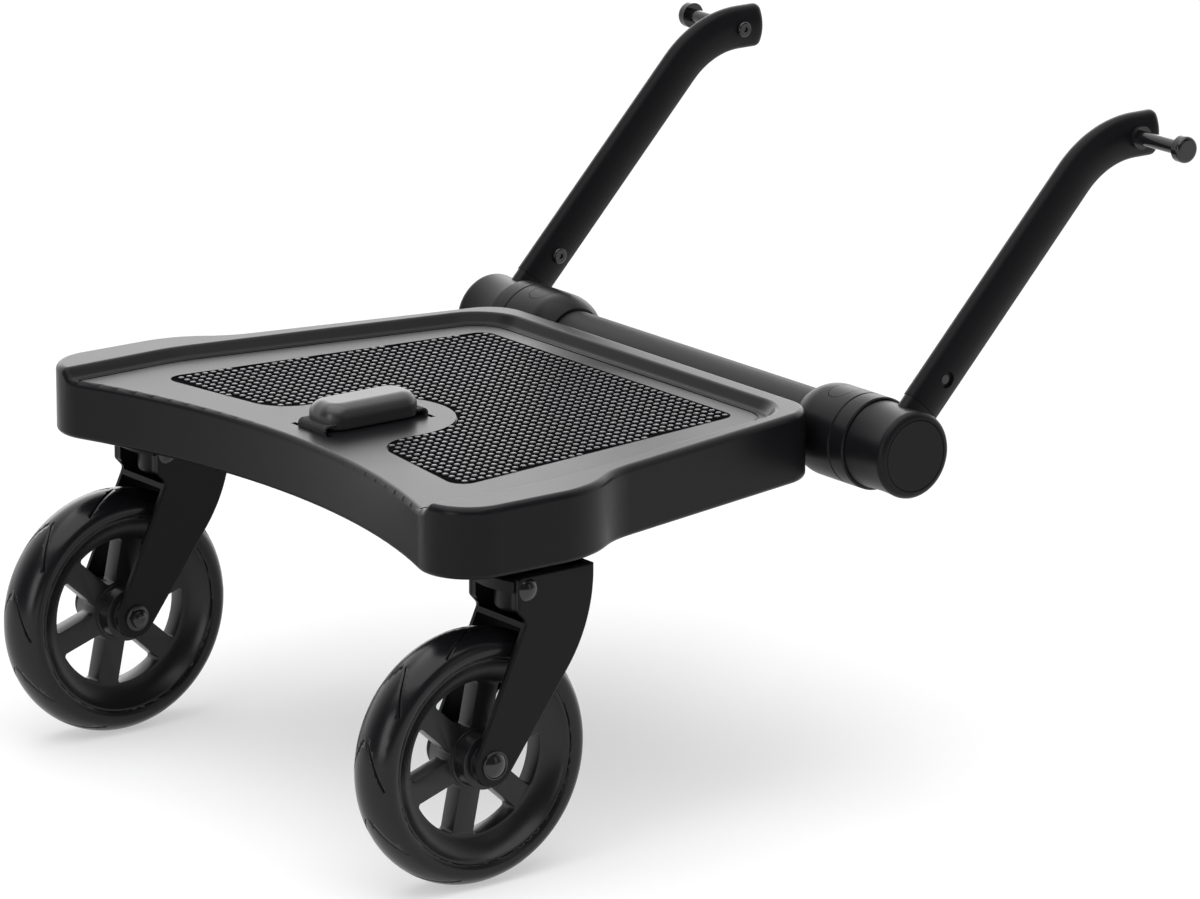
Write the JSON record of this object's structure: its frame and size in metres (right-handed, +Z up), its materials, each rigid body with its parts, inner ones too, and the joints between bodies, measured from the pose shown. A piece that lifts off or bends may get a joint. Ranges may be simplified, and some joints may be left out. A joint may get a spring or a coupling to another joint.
{
  "type": "buggy board",
  "caption": "Ride-on board for the back of a pushchair: lipped deck with rubber mat on sprung swivel casters, and folding arms whose mushroom studs hook onto the pushchair.",
  "frame": {"origin": "middle of the part's length and width, on the floor under the wheels", "axes": "+X to the rider's right, +Y forward towards the pushchair, +Z up"},
  "size_m": [0.446, 0.535, 0.3576],
  "materials": {
    "deck_moulding": "satin",
    "mat_rubber": "matte",
    "grip_rubber": "satin",
    "webbing": "woven",
    "bar_paint": "satin",
    "bright_steel": "satin",
    "black_steel": "semi-gloss",
    "moulding": "satin",
    "arm_paint": "satin",
    "fork_moulding": "satin",
    "rim_moulding": "satin",
    "tyre_rubber": "semi-gloss",
    "bush_plastic": "satin",
    "buffer_rubber": "matte"
  },
  "bodies": {
    "deck": {"deck_tray": "deck_moulding", "tread_mat": "mat_rubber", "crossbar": "bar_paint", "bar_saddles": "moulding", "saddle_bolts": "black_steel", "saddle_nuts": "bright_steel", "left_knuckle_housing": "moulding", "left_knuckle_ring": "moulding", "left_hinge_bolt": "bright_steel", "left_button_spring": "bright_steel", "left_swivel_bush": "bush_plastic", "right_knuckle_housing": "moulding", "right_knuckle_ring": "moulding", "right_hinge_bolt": "bright_steel", "right_button_spring": "bright_steel", "right_swivel_bush": "bush_plastic"},
    "grip": {"grip_block": "grip_rubber", "grip_strap": "webbing", "strap_bars": "bright_steel"},
    "left_arm": {"left_arm_hub": "moulding", "left_hub_cap": "moulding", "left_arm_tube": "arm_paint", "left_tube_plug": "moulding", "left_mount_pin": "black_steel", "left_pin_screw": "black_steel", "left_arm_screw": "black_steel"},
    "left_button": {"left_release_button": "moulding"},
    "left_swivel": {"left_swivel_bracket": "fork_moulding", "left_swivel_stem": "bright_steel", "left_stem_clip": "bright_steel", "left_buffer": "buffer_rubber"},
    "left_fork": {"left_fork": "fork_moulding", "left_pivot_rivets": "black_steel", "left_axle_bolt": "black_steel", "left_axle_nut": "black_steel"},
    "left_wheel": {"left_wheel_rim": "rim_moulding", "left_tyre": "tyre_rubber", "left_wheel_bushes": "bush_plastic"},
    "right_arm": {"right_arm_hub": "moulding", "right_hub_cap": "moulding", "right_arm_tube": "arm_paint", "right_tube_plug": "moulding", "right_mount_pin": "black_steel", "right_pin_screw": "black_steel", "right_arm_screw": "black_steel"},
    "right_button": {"right_release_button": "moulding"},
    "right_swivel": {"right_swivel_bracket": "fork_moulding", "right_swivel_stem": "bright_steel", "right_stem_clip": "bright_steel", "right_buffer": "buffer_rubber"},
    "right_fork": {"right_fork": "fork_moulding", "right_pivot_rivets": "black_steel", "right_axle_bolt": "black_steel", "right_axle_nut": "black_steel"},
    "right_wheel": {"right_wheel_rim": "rim_moulding", "right_tyre": "tyre_rubber", "right_wheel_bushes": "bush_plastic"}
  },
  "joints": [
    {"name": "grip_lift", "type": "slide", "parent": "deck", "child": "grip", "axis": [0, 0, 1], "range_m": [0, 0.016]},
    {"name": "left_arm_fold", "type": "hinge", "parent": "deck", "child": "left_arm", "pos_m": [-0.176, 0.08356, 0.1927], "axis": [1, 0, 0], "range_deg": [-45, 115]},
    {"name": "left_button_press", "type": "slide", "parent": "deck", "child": "left_button", "axis": [0, 0, -1], "range_m": [0, 0.0026], "stiffness_N_per_m": 800, "springref_m": -0.002, "deforming": ["left_button_spring"]},
    {"name": "left_swivel_turn", "type": "hinge", "parent": "deck", "child": "left_swivel", "pos_m": [-0.1684, -0.16204, 0.1745], "axis": [0, 0, 1], "continuous": true},
    {"name": "left_suspension", "type": "hinge", "parent": "left_swivel", "child": "left_fork", "pos_m": [-0.1684, -0.17524, 0.1619], "axis": [-1, 0, 0], "range_deg": [0, 8], "stiffness_Nm_per_rad": 40, "deforming": ["left_buffer"]},
    {"name": "left_wheel_spin", "type": "hinge", "parent": "left_fork", "child": "left_wheel", "pos_m": [-0.1684, -0.19754, 0.07], "axis": [1, 0, 0], "continuous": true},
    {"name": "right_arm_fold", "type": "hinge", "parent": "deck", "child": "right_arm", "pos_m": [0.176, 0.08356, 0.1927], "axis": [1, 0, 0], "range_deg": [-45, 115]},
    {"name": "right_button_press", "type": "slide", "parent": "deck", "child": "right_button", "axis": [0, 0, -1], "range_m": [0, 0.0026], "stiffness_N_per_m": 800, "springref_m": -0.002, "deforming": ["right_button_spring"]},
    {"name": "right_swivel_turn", "type": "hinge", "parent": "deck", "child": "right_swivel", "pos_m": [0.1684, -0.16204, 0.1745], "axis": [0, 0, 1], "continuous": true},
    {"name": "right_suspension", "type": "hinge", "parent": "right_swivel", "child": "right_fork", "pos_m": [0.1684, -0.17524, 0.1619], "axis": [-1, 0, 0], "range_deg": [0, 8], "stiffness_Nm_per_rad": 40, "deforming": ["right_buffer"]},
    {"name": "right_wheel_spin", "type": "hinge", "parent": "right_fork", "child": "right_wheel", "pos_m": [0.1684, -0.19754, 0.07], "axis": [1, 0, 0], "continuous": true}
  ]
}
